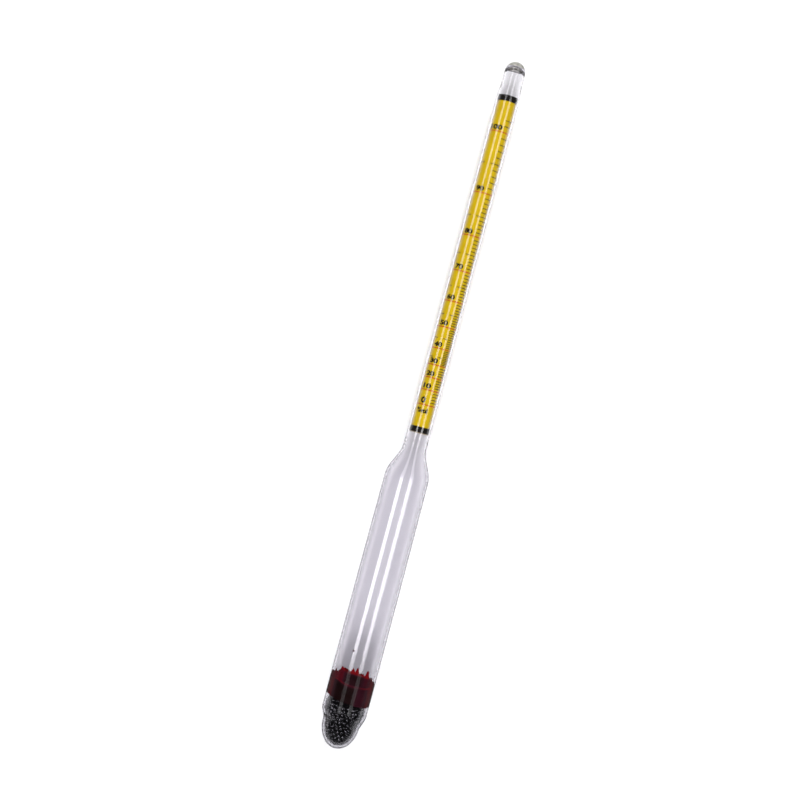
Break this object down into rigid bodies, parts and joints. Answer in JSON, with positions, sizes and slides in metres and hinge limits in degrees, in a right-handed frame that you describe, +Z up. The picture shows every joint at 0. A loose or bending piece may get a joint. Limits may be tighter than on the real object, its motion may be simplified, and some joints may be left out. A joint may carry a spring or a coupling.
{
  "type": "hydrometer",
  "caption": "Glass alcohol hydrometer: a float bulb with shot locked under red wax in its nose and a slim stem with a rolled paper scale.",
  "frame": {"origin": "on the surface that the hydrometer lies on, under the middle of its length and width", "axes": "+X along the instrument's axis towards the sealed tip, +Z up, out of the side of the scale that faces the reader"},
  "size_m": [0.267, 0.0172, 0.0172],
  "materials": {
    "clear_glass": "clear drawn glass, polished",
    "melted_glass": "flame-melted glass, grey where it is thick",
    "scale_paper": "yellow coated paper with printed scale",
    "black_band": "black, satin",
    "glue": "dried tan glue",
    "red_wax": "dark red sealing wax",
    "steel_shot": "blackened steel balls, glossy"
  },
  "bodies": {
    "root": {"float_bulb": "clear_glass", "stem_tube": "clear_glass", "tip_seal": "melted_glass", "scale_paper": "scale_paper", "scale_band_lower": "black_band", "scale_band_upper": "black_band", "scale_adhesive": "glue", "sealing_wax": "red_wax", "ballast_shot": "steel_shot"}
  },
  "joints": []
}
